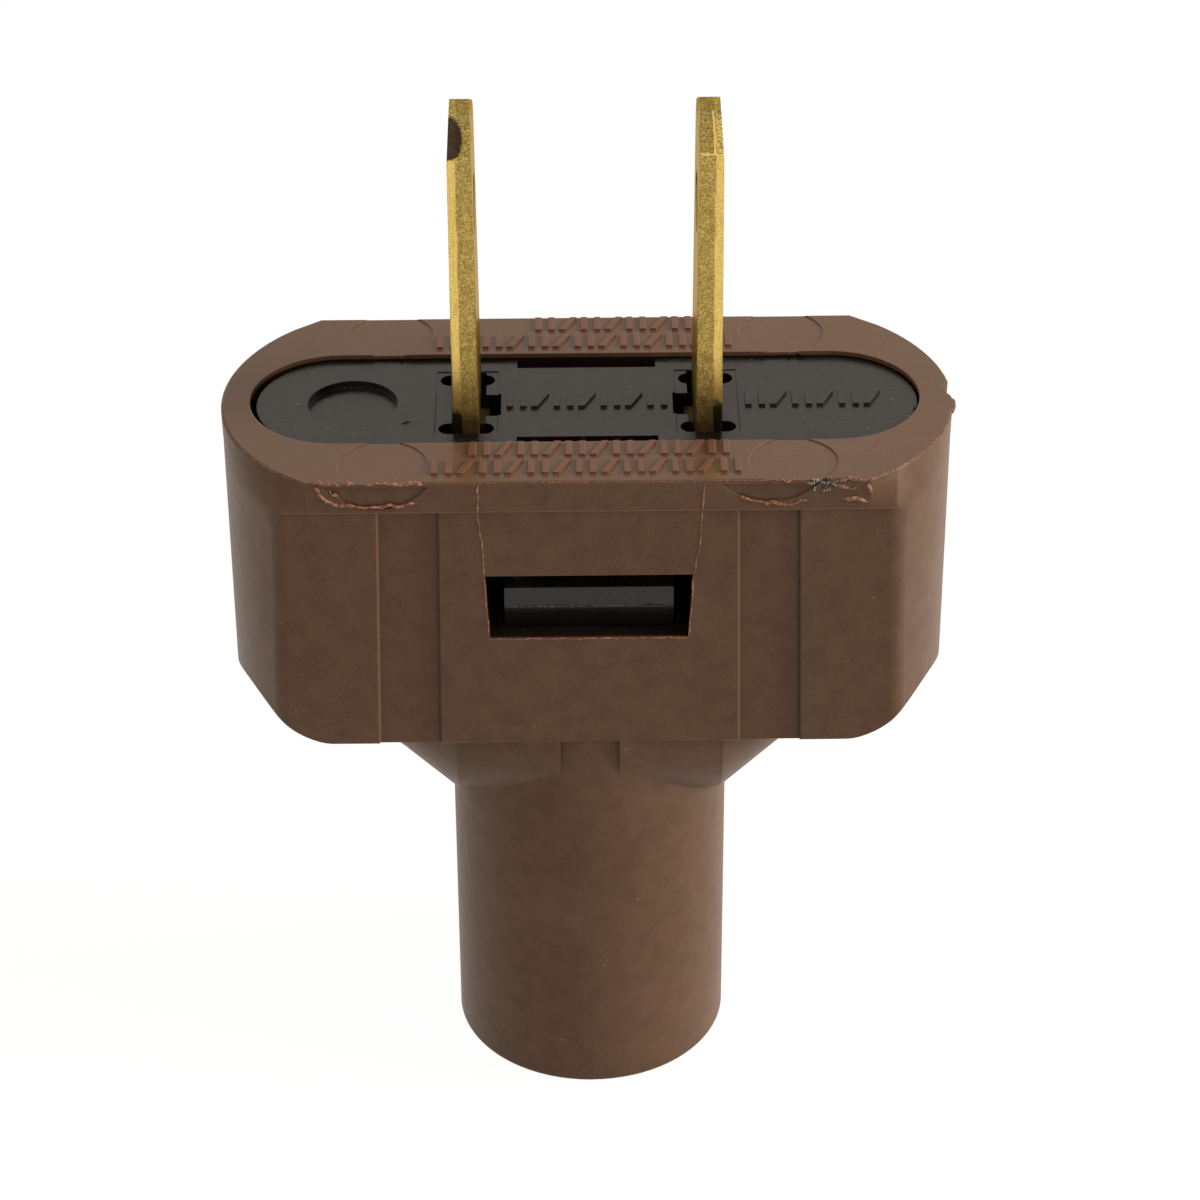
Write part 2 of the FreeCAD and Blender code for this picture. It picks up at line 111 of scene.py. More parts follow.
# Brown thermoplastic, injection moulded: even and semi-gloss on the contact face, which mirrors the blades a
# little, finely spark-eroded below it; faint cloudy flow marks, pale dust, corners a little paler, partly as
# rubbed wear and partly as a painted highlight along the edges.
brownPlastic = {
    # the recess colour is painted shade inside the latch windows and the carrier's mouth
    "colour": "#6c5240", "cloud": "#634a39", "rubbedAndHighlit": "#9c7a66", "dust": "#b9a698", "recessShade": "#120f0d",
    # painted top light: the top colour below draws upward faces lighter and warmer than the sides
    "litTopTone": "#775841",                         # the contact face, warmer than the sides
    "raised": "#87523f",                      # tops of the raised marks, drawn redder
    # painted highlight and painted shade: the colours of the fine lit and shaded lines below
    "lit": "#a8806c", "shadedBorder": "#2b1f18",   # fine lines along the band's foot and the grip strips' borders
    "lineMm": 0.07, "lineCoreMm": 0.021, "lineShare": 0.55,
    "lineFromDepth": 7.6, "lineReach": 15.9,  # the lines show past this |y|, within this |x|
    # borders of the sunk grip strips, painted as a lit line where the step wall faces the lamp and a shaded
    # line
    # where it faces away: x at the band's foot, its change per mm of drop, colour; they start this far below
    # the foot
    "stripBorders": [(-10.87, -0.025, "lit"), (-7.75, -0.017, "shadedBorder"), (7.75, 0.017, "lit"),
                     (10.87, 0.025, "shadedBorder")],
    "stripFromMm": 0.1,
    "grainMm": 0.13, "cloudMm": 1.1, "flowMm": 6.0, "grainDepthMm": 0.011, "ior": 1.5,
    "cloudHeight": 1.4,                       # of the clouds in the relief, against the grain's 1
    "dustSpacingMm": 1.9, "dustRadiusMm": 0.06, "dustShare": 0.6,
    "pitSpacingMm": 0.9, "pitRadiusMm": 0.06, "pitShare": -1.5,
    "edgeMm": 0.08, "endEdgeMm": 1.1,         # radius of corners, and of the band's foot at the round ends
    "windowHalfLength": 5.75, "mouthHalfDepth": 4.75, "mouthFootDrop": 4.0, "recessShadeShare": 0.92,
    # masks of the noises and of the turn at a corner
    "cloudy": (0.35, 0.7, 0.0, 1.0), "paler": (0.5, 0.75, 0.0, 0.12), "grainy": (0.3, 0.7, 0.0, 0.12),
    "wornAndHighlit": (0.3, 0.6, 0.2, 0.5), "uneven": (0.3, 0.7, -0.04, 0.07), "corner": (0.995, 0.86, 0.0, 1.0),
    # of the upward part of the surface's direction: share of the painted top light's colour, and both values
    # of its gloss
    "topLightShare": (0.9, 0.97, 0.0, 0.85), "roughness": (0.9, 0.97, 0.36, 0.2),
    "specular": (0.9, 0.97, 0.22, 0.37),
    # of drops below the contact face, negative above it, and of |y| in the window
    "windowTop": (5.75, 5.85, 0.0, 1.0), "windowFoot": (10.1, 10.0, 0.0, 1.0),
    "mouthTop": (0.2, 0.28, 0.0, 1.0), "windowSkin": (8.2, 7.95, 0.0, 1.0),
    # straight ones: |x| where the band runs into the round end, drops where it does, |x| of the mouth's end
    "atEnd": (15.7, 16.2, 0.0, 1.0), "bandMiddle": (0.3, 0.9, 0.0, 1.0), "aboveBody": (3.2, 2.6, 0.0, 1.0),
    "mouthEnd": (17.95, 17.9, 0.0, 1.0), "high": (-0.03, -0.06, 0.0, 0.5),
}


def makeBrownPlastic():
    use = brownPlastic
    tone = tonesOf(use)
    material, tree, place = startMaterial("moulded_brown_thermoplastic")
    point = place["Object"]
    grain, cloud, flow = [
        addNode(tree, "TexNoise", {}, {"Vector": point, "Scale": metre / use[wave], "Detail": detail})["Fac"]
        for wave, detail in (("grainMm", 3.0), ("cloudMm", 4.0), ("flowMm", 2.0))]
    millimetres = addNode(tree, "VectorMath", {"operation": "SCALE"}, {0: point, "Scale": metre})["Vector"]
    axis = addNode(tree, "SeparateXYZ", {}, {"Vector": millimetres})
    lengthways = addNode(tree, "Math", size, {0: axis["X"]})["Value"]
    depthways = addNode(tree, "Math", size, {0: axis["Y"]})["Value"]
    drop = addNode(tree, "Math", minus, {0: plugForm["rimTop"], 1: axis["Z"]})["Value"]
    facing = addNode(tree, "SeparateXYZ", {}, {"Vector": place["Normal"]})["Z"]
    straight = {key: addNode(tree, "MapRange", {}, dict(enumerate((source, *use[key]))))["Result"]
                for key, source in (("atEnd", lengthways), ("bandMiddle", drop), ("aboveBody", drop),
                                    ("mouthEnd", lengthways), ("high", drop))}

    # shading normal rounded over sharp corners, and how near to a corner a point is
    wide = straight["atEnd"]
    for part in ("bandMiddle", "aboveBody"):
        wide = addNode(tree, "Math", times, {0: wide, 1: straight[part]})["Value"]
    radius = addNode(tree, "MapRange", {},
                     {0: wide, 3: use["edgeMm"] / metre, 4: use["endEdgeMm"] / metre})["Result"]
    rounded = addNode(tree, "Bevel", {"samples": 6}, {"Radius": radius})["Normal"]
    plain = addNode(tree, "NewGeometry", {}, {})["Normal"]
    bend = addNode(tree, "VectorMath", {"operation": "DOT_PRODUCT"}, {0: rounded, 1: plain})["Value"]
    mask = {key: addNode(tree, "MapRange", smoothly, dict(enumerate((source, *use[key]))))["Result"]
            for key, source in (("cloudy", cloud), ("paler", flow), ("grainy", grain), ("wornAndHighlit", cloud),
                                ("uneven", grain), ("corner", bend), ("topLightShare", facing),
                                ("roughness", facing), ("specular", facing), ("windowTop", drop),
                                ("windowFoot", drop), ("mouthTop", drop), ("windowSkin", depthways))}
    # paler corners, convex and concave alike: partly rubbed wear, partly a painted highlight along the edges
    wornAndHighlit = addNode(tree, "Math", times, {0: mask["wornAndHighlit"], 1: mask["corner"]})["Value"]
    speck = {}
    for kind in ("dust", "pit"):
        near = use[kind + "RadiusMm"] / use[kind + "SpacingMm"]
        apart = addNode(tree, "TexVoronoi", {},
                        {"Vector": point, "Scale": metre / use[kind + "SpacingMm"]})["Distance"]
        speck[kind] = addNode(tree, "MapRange", smoothly,
                              {0: apart, 1: near, 2: speckCore * near, 4: use[kind + "Share"]})["Result"]
    layers = [(mask["cloudy"], "cloud"), (mask["topLightShare"], "litTopTone"), (mask["paler"], "rubbedAndHighlit"),
              (mask["grainy"], "rubbedAndHighlit"), (wornAndHighlit, "rubbedAndHighlit"), (speck["dust"], "dust"),
              (straight["high"], "raised")]

    # painted highlight and painted shade: fine lines on the front and back faces, a lit one where the band
    # ends, and lit and shaded ones along the grip strips' borders
    onFace = addNode(tree, "Math", isAbove, {0: depthways, 1: use["lineFromDepth"]})["Value"]
    flat = addNode(tree, "Math", isBelow, {0: lengthways, 1: use["lineReach"]})["Value"]
    onFace = addNode(tree, "Math", times, {0: onFace, 1: flat})["Value"]
    underBand = addNode(tree, "Math", minus, {0: drop, 1: plugForm["bandHeight"]})["Value"]
    off = addNode(tree, "Math", size, {0: underBand})["Value"]
    line = addNode(tree, "MapRange", smoothly,
                   {0: off, 1: use["lineMm"], 2: use["lineCoreMm"], 4: use["lineShare"]})["Result"]
    line = addNode(tree, "Math", times, {0: line, 1: onFace})["Value"]
    layers.append((line, "lit"))
    clear = addNode(tree, "Math", isAbove, {0: underBand, 1: use["stripFromMm"]})["Value"]
    onFace = addNode(tree, "Math", times, {0: onFace, 1: clear})["Value"]
    for start, slant, name in use["stripBorders"]:
        off = addNode(tree, "Math", timesPlus, {0: underBand, 1: -slant, 2: axis["X"]})["Value"]
        line = addNode(tree, "Math", isNear, {0: off, 1: start, 2: use["lineMm"]})["Value"]
        for part in (onFace, use["lineShare"]):
            line = addNode(tree, "Math", times, {0: line, 1: part})["Value"]
        layers.append((line, name))

    # painted shade: inside the latch windows and the carrier's mouth hardly any light returns, so the brown
    # is darkened there
    window = addNode(tree, "Math", isBelow, {0: lengthways, 1: use["windowHalfLength"]})["Value"]
    for part in (mask["windowTop"], mask["windowFoot"], mask["windowSkin"]):
        window = addNode(tree, "Math", times, {0: window, 1: part})["Value"]
    shallow = addNode(tree, "Math", isBelow, {0: drop, 1: use["mouthFootDrop"]})["Value"]
    mouth = addNode(tree, "Math", isBelow, {0: depthways, 1: use["mouthHalfDepth"]})["Value"]
    for part in (mask["mouthTop"], shallow, straight["mouthEnd"]):
        mouth = addNode(tree, "Math", times, {0: mouth, 1: part})["Value"]
    shadedInside = addNode(tree, "Math", greater, {0: window, 1: mouth})["Value"]
    shadedInside = addNode(tree, "Math", times, {0: shadedInside, 1: use["recessShadeShare"]})["Value"]
    layers.append((shadedInside, "recessShade"))
    colour = tone["colour"]
    for share, name in layers:
        colour = addNode(tree, "Mix", ofColours, {0: share, 6: colour, 7: tone[name]})[2]

    rough = addNode(tree, "Math", plus, {0: mask["roughness"], 1: mask["uneven"]})["Value"]
    height = addNode(tree, "Math", timesPlus, {0: cloud, 1: use["cloudHeight"], 2: grain})["Value"]
    height = addNode(tree, "Math", plus, {0: height, 1: speck["pit"]})["Value"]
    bump = addNode(tree, "Bump", {}, {"Strength": 1.0, "Distance": use["grainDepthMm"] / metre,
                                      "Height": height, "Normal": rounded})["Normal"]
    finishMaterial(tree, {"Base Color": colour, "Roughness": rough, "Specular IOR Level": mask["specular"],
                          "IOR": use["ior"], "Normal": bump})
    return material


# Black thermoplastic of the snap-in carrier, moulded in a polished mould: nearly black in itself, it looks
# grey because its satin face mirrors the pale studio, and dark again where it mirrors the blades.
blackPlastic = {
    "colour": "#151413", "greyed": "#1f1d1c", "scuff": "#7a756e", "dust": "#c4bfb6",
    "shade": "#181816", "shadeFromDepth": 6.6,   # under the latch lugs' noses, past this |y|
    "grainMm": 0.11, "cloudMm": 1.6, "scuffMm": 0.5, "grainDepthMm": 0.009,
    "scuffStretch": (1.0, 2.5, 1.0), "scuffHeight": 0.8,   # scuffs run along x; relief, the grain's being 1
    "dustSpacingMm": 1.9, "dustRadiusMm": 0.06, "dustShare": 0.7, "edgeMm": 0.05,
    "specular": 0.5, "shadeSpecular": 0.2, "ior": 1.5,
    # masks of the noises, and of the drop below the contact face
    "cloudy": (0.35, 0.7, 0.0, 1.0), "scuffed": (0.6, 0.76, 0.0, 0.4), "roughness": (0.3, 0.7, 0.19, 0.3),
    "shaded": (8.45, 8.6, 0.0, 1.0),
}


def makeBlackPlastic():
    use = blackPlastic
    tone = tonesOf(use)
    material, tree, place = startMaterial("moulded_black_thermoplastic")
    point = place["Object"]
    across = addNode(tree, "Mapping", {}, {"Vector": point, "Scale": use["scuffStretch"]})["Vector"]
    grain, cloud, scuffs = [
        addNode(tree, "TexNoise", {}, {"Vector": where, "Scale": metre / use[wave], "Detail": detail})["Fac"]
        for where, wave, detail in ((point, "grainMm", 3.0), (point, "cloudMm", 4.0),
                                    (across, "scuffMm", 5.0))]
    millimetres = addNode(tree, "VectorMath", {"operation": "SCALE"}, {0: point, "Scale": metre})["Vector"]
    axis = addNode(tree, "SeparateXYZ", {}, {"Vector": millimetres})
    drop = addNode(tree, "Math", minus, {0: plugForm["rimTop"], 1: axis["Z"]})["Value"]
    depthways = addNode(tree, "Math", size, {0: axis["Y"]})["Value"]
    mask = {key: addNode(tree, "MapRange", smoothly, dict(enumerate((source, *use[key]))))["Result"]
            for key, source in (("cloudy", cloud), ("scuffed", scuffs), ("roughness", cloud),
                                ("shaded", drop))}
    near = use["dustRadiusMm"] / use["dustSpacingMm"]
    apart = addNode(tree, "TexVoronoi", {},
                    {"Vector": point, "Scale": metre / use["dustSpacingMm"]})["Distance"]
    dusty = addNode(tree, "MapRange", smoothly,
                    {0: apart, 1: near, 2: speckCore * near, 4: use["dustShare"]})["Result"]
    outer = addNode(tree, "Math", isAbove, {0: depthways, 1: use["shadeFromDepth"]})["Value"]
    shaded = addNode(tree, "Math", times, {0: mask["shaded"], 1: outer})["Value"]
    colour = tone["colour"]
    for share, name in ((mask["cloudy"], "greyed"), (mask["scuffed"], "scuff"), (dusty, "dust"),
                        (shaded, "shade")):
        colour = addNode(tree, "Mix", ofColours, {0: share, 6: colour, 7: tone[name]})[2]
    shine = addNode(tree, "MapRange", {}, {0: shaded, 3: use["specular"], 4: use["shadeSpecular"]})["Result"]
    rounded = addNode(tree, "Bevel", {"samples": 4}, {"Radius": use["edgeMm"] / metre})["Normal"]
    height = addNode(tree, "Math", timesPlus, {0: scuffs, 1: use["scuffHeight"], 2: grain})["Value"]
    bump = addNode(tree, "Bump", {}, {"Strength": 1.0, "Distance": use["grainDepthMm"] / metre,
                                      "Height": height, "Normal": rounded})["Normal"]
    finishMaterial(tree, {"Base Color": colour, "Roughness": mask["roughness"], "Specular IOR Level": shine,
                          "IOR": use["ior"], "Normal": bump})
    return material


# Brass strip, sheared and coined, left bare. The shear burnishes the outer third of each long edge and tears
# the rest, so the edge is part bright and part dull olive grain; towards the carrier it has tarnished brown.
brassBlade = {
    "flat": "#c4a75f", "bright": "#f7dd84", "speckle": "#c9a44c",   # wide faces, burnished band, its specks
    "shadow": "#a08a4a", "torn": "#dcc272", "blotch": "#8c7f45",    # the torn grain, pits too
    "dullTip": "#a39468", "vein": "#5f4d2a",                        # the tip's top, veins on its cuts
    "tarnish": "#45361f", "footStain": "#1d1611", "oxide": "#3b2f2e", "patchPale": "#5c4b38",
    "grazing": "#e6cf94",
    "grainMm": 0.08, "streakMm": 0.1, "blotchMm": 0.3, "broadMm": 1.2, "grainDepthMm": 0.014,
    "pitSpacingMm": 1.1, "pitRadiusMm": 0.09, "pitShare": 0.5, "edgeMm": 0.07,
    "streakStretch": (1.0, 1.0, 0.12), "streakHeight": 0.12,          # streaks run along the blade
    "wanderMm": 0.24, "stainRaggedMm": 2.4, "footRaggedMm": 1.6,      # how far the noises move the borders
    "ridgeMm": 0.045, "ridgeRise": 15.93, "ridgeReach": 6.49,         # bright lines on the right tip
    "ridgeWander": 0.3, "patchWander": 0.25,
    "patchPlace": (6.95, -3.1, 16.35), "patchSize": (0.8, 3.2, 0.8),  # dark oxide on the left tip
    "stainRough": 0.3,                                                # added to the roughness by tarnish
    # masks of places: |x| of the burnished band; |y| of the long edges and of the corner cuts; heights above
    # the contact face of the cuts and the top, of brown tarnish and the dark foot once their noises are
    # taken off, of brass below the carrier's face, and of brass sheltered inside, which is clean
    "burnished": (6.51, 6.59, 0.0, 1.0), "onEdge": (3.1, 3.12, 0.0, 1.0), "beside": (0.7, 0.85, 0.0, 1.0),
    "overTip": (15.76, 15.78, 0.0, 1.0), "onTop": (16.7, 16.85, 0.0, 1.0), "stained": (2.0, -1.2, 0.0, 0.9),
    "footed": (-0.5, -0.8, 0.0, 0.92), "sunk": (-0.28, -0.4, 0.0, 0.97), "exposed": (-3.5, -2.5, 0.0, 1.0),
    # masks of the noises
    "streaky": (0.2, 0.45, 0.0, 1.0), "speckled": (0.52, 0.38, 0.0, 0.55), "grainy": (0.36, 0.62, 0.0, 1.0),
    "blotchy": (0.4, 0.65, 0.0, 0.45), "glints": (0.62, 0.78, 0.0, 0.5), "dulled": (0.62, 0.4, 0.1, 0.85),
    "veined": (0.55, 0.42, 0.0, 0.6), "patchy": (0.2, 0.5, 0.75, 0.97), "mottled": (0.5, 0.66, 0.0, 0.7),
    "patch": (1.2, 1.05, 0.0, 1.0),           # of the distance from the patch's middle, in half sizes
    # straight ones: |x| of the faces that look at the other blade; then of the torn share
    "lance": (5.6, 5.56, 0.0, 0.97), "roughness": (0.0, 1.0, 0.3, 0.42), "grainHeight": (0.0, 1.0, 0.1, 1.0),
}


def makeBrass(title, side):
    use = brassBlade
    tone = tonesOf(use)
    material, tree, place = startMaterial(title)
    point = addNode(tree, "VectorMath", {"operation": "SCALE"},
                    {0: place["Object"], "Scale": metre})["Vector"]
    axis = addNode(tree, "SeparateXYZ", {}, {"Vector": point})
    reach = addNode(tree, "Math", size, {0: axis["X"]})["Value"]
    sideways = addNode(tree, "Math", size, {0: axis["Y"]})["Value"]
    rise = addNode(tree, "Math", minus, {0: axis["Z"], 1: plugForm["rimTop"]})["Value"]
    along = addNode(tree, "Mapping", {}, {"Vector": point, "Scale": use["streakStretch"]})["Vector"]
    grain, streak, broad, blotch = [
        addNode(tree, "TexNoise", {}, {"Vector": where, "Scale": 1 / use[wave], "Detail": detail})["Fac"]
        for where, wave, detail in ((point, "grainMm", 3.0), (along, "streakMm", 2.0),
                                    (point, "broadMm", 3.0), (point, "blotchMm", 2.0))]
    outward = addNode(tree, "Math", timesPlus, {0: broad, 1: use["wanderMm"], 2: reach})["Value"]
    outward = addNode(tree, "Math", minus, {0: outward, 1: use["wanderMm"] / 2})["Value"]
    low = addNode(tree, "Math", timesPlus, {0: broad, 1: -use["stainRaggedMm"], 2: rise})["Value"]
    jagged = addNode(tree, "Math", timesPlus, {0: grain, 1: -use["footRaggedMm"], 2: low})["Value"]
    mask = {key: addNode(tree, "MapRange", smoothly, dict(enumerate((source, *use[key]))))["Result"]
            for key, source in (("burnished", outward), ("onEdge", sideways), ("beside", sideways),
                                ("overTip", rise), ("onTop", rise), ("stained", low), ("footed", jagged),
                                ("sunk", rise), ("exposed", rise), ("streaky", streak), ("speckled", grain),
                                ("grainy", grain), ("blotchy", blotch), ("glints", grain), ("dulled", grain),
                                ("veined", streak))}

    # sheared faces: the long edges, the tip's corner cuts and its top, each part burnished and part torn
    onCut = addNode(tree, "Math", times, {0: mask["beside"], 1: mask["overTip"]})["Value"]
    sheared = mask["onEdge"]
    for part in (onCut, mask["onTop"]):
        sheared = addNode(tree, "Math", greater, {0: sheared, 1: part})["Value"]
    unburnished = addNode(tree, "Math", minus, {0: 1.0, 1: mask["burnished"]})["Value"]
    torn = addNode(tree, "Math", times, {0: sheared, 1: unburnished})["Value"]
    shiny = addNode(tree, "Math", times, {0: sheared, 1: mask["burnished"]})["Value"]
    tornColour = tone["shadow"]
    for key, name in (("grainy", "torn"), ("blotchy", "blotch"), ("glints", "bright")):
        tornColour = addNode(tree, "Mix", ofColours, {0: mask[key], 6: tornColour, 7: tone[name]})[2]
    streaky = addNode(tree, "Math", times, {0: mask["streaky"], 1: shiny})["Value"]
    speckled = addNode(tree, "Math", times, {0: mask["speckled"], 1: shiny})["Value"]
    dulled = addNode(tree, "Math", times, {0: mask["dulled"], 1: mask["onTop"]})["Value"]
    veined = mask["veined"]
    for part in (mask["overTip"], sheared):
        veined = addNode(tree, "Math", times, {0: veined, 1: part})["Value"]
    near = use["pitRadiusMm"] / use["pitSpacingMm"]
    apart = addNode(tree, "TexVoronoi", {}, {"Vector": point, "Scale": 1 / use["pitSpacingMm"]})["Distance"]
    pits = addNode(tree, "MapRange", smoothly,
                   {0: apart, 1: near, 2: speckCore * near, 4: use["pitShare"]})["Result"]
    layers = [(streaky, tone["bright"]), (speckled, tone["speckle"]), (torn, tornColour),
              (dulled, tone["dullTip"]), (veined, tone["vein"]), (pits, tone["shadow"])]
    if side > 0:   # bright lines on the right tip: where its cuts begin, and along the burnished band above
        uneven = addNode(tree, "Math", timesPlus, {0: blotch, 1: use["ridgeWander"], 2: rise})["Value"]
        level = addNode(tree, "Math", isNear, {0: uneven, 1: use["ridgeRise"], 2: use["ridgeMm"]})["Value"]
        level = addNode(tree, "Math", times, {0: level, 1: mask["onEdge"]})["Value"]
        upright = addNode(tree, "Math", isNear,
                          {0: outward, 1: use["ridgeReach"], 2: use["ridgeMm"]})["Value"]
        upright = addNode(tree, "Math", times, {0: upright, 1: onCut})["Value"]
        ridge = addNode(tree, "Math", greater, {0: level, 1: upright})["Value"]
        layers.append((ridge, tone["bright"]))

    # tarnish: what the carrier covers hardly shines, but further in the sheltered brass is clean again
    lance = addNode(tree, "MapRange", {}, dict(enumerate((reach, *use["lance"]))))["Result"]
    covered = addNode(tree, "Math", greater, {0: mask["sunk"], 1: lance})["Value"]
    foot = addNode(tree, "Math", times, {0: mask["footed"], 1: mask["burnished"]})["Value"]
    covered, foot, stain = [addNode(tree, "Math", times, {0: part, 1: mask["exposed"]})["Value"]
                            for part in (covered, foot, mask["stained"])]
    bare = addNode(tree, "Math", minus, {0: 1.0, 1: covered})["Value"]
    stain = addNode(tree, "Math", greater, {0: stain, 1: covered})["Value"]
    layers += [(stain, tone["tarnish"]), (foot, tone["footStain"])]
    stain = addNode(tree, "Math", greater, {0: stain, 1: foot})["Value"]
    if side < 0:   # dark oxide on the outer part of the left blade's front cut, a rounded patch
        away, deep, high = use["patchPlace"]
        middle = addNode(tree, "VectorMath", {"operation": "SUBTRACT"},
                         {0: point, 1: (-away, deep, plugForm["rimTop"] + high)})["Vector"]
        middle = addNode(tree, "VectorMath", {"operation": "DIVIDE"},
                         {0: middle, 1: use["patchSize"]})["Vector"]
        far = addNode(tree, "VectorMath", {"operation": "LENGTH"}, {0: middle})["Value"]
        far = addNode(tree, "Math", timesPlus, {0: grain, 1: use["patchWander"], 2: far})["Value"]
        patch, patchy, mottled = [
            addNode(tree, "MapRange", smoothly, dict(enumerate((source, *use[key]))))["Result"]
            for key, source in (("patch", far), ("patchy", grain), ("mottled", grain))]
        patch = addNode(tree, "Math", times, {0: patch, 1: patchy})["Value"]
        oxide = addNode(tree, "Mix", ofColours, {0: mottled, 6: tone["oxide"], 7: tone["patchPale"]})[2]
        layers.append((patch, oxide))
        stain = addNode(tree, "Math", greater, {0: stain, 1: patch})["Value"]
    colour = tone["flat"]
    for share, other in layers:
        colour = addNode(tree, "Mix", ofColours, {0: share, 6: colour, 7: other})[2]

    rough, deep = [addNode(tree, "MapRange", {}, dict(enumerate((torn, *use[key]))))["Result"]
                   for key in ("roughness", "grainHeight")]
    rough = addNode(tree, "Math", timesPlus, {0: stain, 1: use["stainRough"], 2: rough})["Value"]
    height = addNode(tree, "Math", times, {0: grain, 1: deep})["Value"]
    height = addNode(tree, "Math", timesPlus, {0: streak, 1: use["streakHeight"], 2: height})["Value"]
    rounded = addNode(tree, "Bevel", {"samples": 4}, {"Radius": use["edgeMm"] / metre})["Normal"]
    bump = addNode(tree, "Bump", {}, {"Strength": 1.0, "Distance": use["grainDepthMm"] / metre,
                                      "Height": height, "Normal": rounded})["Normal"]
    finishMaterial(tree, {"Base Color": colour, "Metallic": bare, "Roughness": rough, "Normal": bump,
                          "Specular Tint": tone["grazing"]})
    return material


trimLooks = {
    # the same brown where it squeezed out of the mould's joints: thin ragged skin, drier and paler for it
    "torn_brown_flash": {
        "colour": "#7d4f3c", "pale": "#c58f76", "paler": (0.4, 0.68, 0.0, 1.0), "grainMm": 0.2,
        "roughness": (0.3, 0.7, 0.4, 0.6), "ior": 1.5, "strength": 0.8, "grainDepthMm": 0.02},
    # thin skin of the black plastic, greyer than the solid where it has lifted
    "lifted_black_skin": {
        "colour": "#1c1b19", "pale": "#6b6860", "paler": (0.38, 0.62, 0.0, 1.0), "grainMm": 0.3,
        "roughness": (0.3, 0.7, 0.4, 0.4), "ior": 1.5, "strength": 1.0, "grainDepthMm": 0.01},
    # grey moulding dirt, caked by the torn edge
    "caked_grey_dirt": {
        "colour": "#4a4038", "pale": "#c2b8aa", "paler": (0.42, 0.62, 0.0, 1.0), "grainMm": 0.25,
        "roughness": (0.3, 0.7, 0.8, 0.8), "ior": 1.45, "strength": 1.0, "grainDepthMm": 0.03},
}


def makeTrim(title):
    use = trimLooks[title]
    tone = tonesOf(use)
    material, tree, place = startMaterial(title)
    grain = addNode(tree, "TexNoise", {},
                    {"Vector": place["Object"], "Scale": metre / use["grainMm"], "Detail": 3.0})["Fac"]
    paler, rough = [addNode(tree, "MapRange", smoothly, dict(enumerate((grain, *use[key]))))["Result"]
                    for key in ("paler", "roughness")]
    colour = addNode(tree, "Mix", ofColours, {0: paler, 6: tone["colour"], 7: tone["pale"]})[2]
    bump = addNode(tree, "Bump", {}, {"Strength": use["strength"], "Distance": use["grainDepthMm"] / metre,
                                      "Height": grain})["Normal"]
    finishMaterial(tree, {"Base Color": colour, "Roughness": rough, "IOR": use["ior"], "Normal": bump})
    return material


def paint(obj, material):
    obj.data.materials.clear()
    obj.data.materials.append(material)


brown = makeBrownPlastic()
flash = makeTrim("torn_brown_flash")
black = makeBlackPlastic()
blackSkin = makeTrim("lifted_black_skin")
dirt = makeTrim("caked_grey_dirt")
paint(nodes["housing"], brown)
paint(nodes["blade_carrier"], black)
paint(nodes["blade_left"], makeBrass("sheared_brass_left", -1))
paint(nodes["blade_right"], makeBrass("sheared_brass_right", 1))
screwBrass = makeBrass("turned_brass_screw", 1)
paint(nodes["terminal_screw_left"], screwBrass)
paint(nodes["terminal_screw_right"], screwBrass)
print("materials on", len(nodes), "CAD nodes")


def wander(count, seed, steps):   # smooth random curve of count values between -1 and 1, with steps bends
    knots = np.random.default_rng(seed).uniform(-1.0, 1.0, steps + 1)
    place = np.linspace(0.0, steps, count)
    index = np.minimum(place.astype(int), steps - 1)
    share = place - index
    share = share * share * (3 - 2 * share)
    return knots[index] * (1 - share) + knots[index + 1] * share


def frontFace(x, drop):   # points of the front face at x, drop below the contact face, band included
    x, drop = np.broadcast_arrays(np.asarray(x, float), np.asarray(drop, float))
    below = drop - plugForm["bandHeight"]
    leaning = plugForm["faceHalfDepth"] - plugForm["faceLean"] * below
    depth = np.where(below > 0, leaning, plugForm["rimHalfDepth"])
    return np.column_stack([x, -depth, plugForm["rimTop"] - drop])


def alongPoints(points, spacing):   # the same polyline with points every spacing millimetres
    points = np.asarray(points, float)
    length = np.concatenate([[0.0], np.cumsum(np.linalg.norm(np.diff(points, axis=0), axis=1))])
    count = max(int(length[-1] / spacing), 4)
    place = np.linspace(0.0, length[-1], count)
    return np.column_stack([np.interp(place, length, points[:, i]) for i in range(points.shape[1])])


